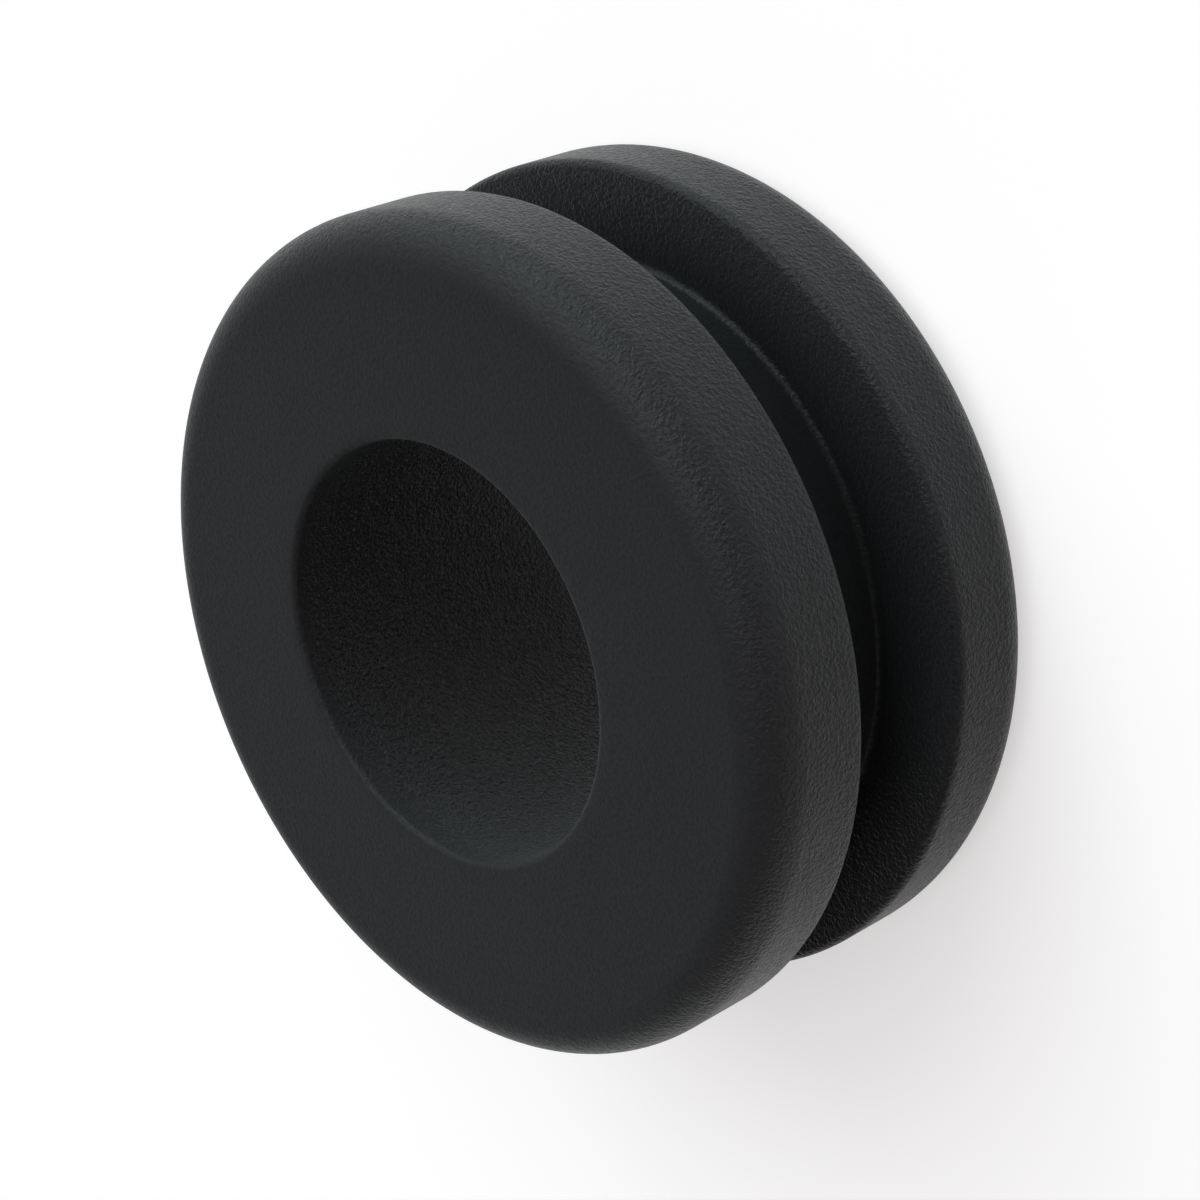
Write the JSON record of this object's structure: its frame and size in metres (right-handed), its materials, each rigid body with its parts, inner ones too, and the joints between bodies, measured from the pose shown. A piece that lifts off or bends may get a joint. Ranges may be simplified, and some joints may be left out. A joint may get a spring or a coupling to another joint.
{
  "type": "cable grommet",
  "caption": "Round rubber bushing with a flange at each end, a panel groove between them and a plain cable hole through the middle.",
  "frame": {"origin": "centre of the lower face, which the part stands on", "axes": "+Z along the cable hole, from the lower face to the upper face; X and Y are any two directions across it, because the part is a body of revolution"},
  "size_m": [0.018, 0.018, 0.008],
  "materials": {
    "black_rubber": "matt black rubber with a fine leather-like grain moulded into every surface"
  },
  "bodies": {
    "root": {"grommet": "black_rubber"}
  },
  "joints": []
}
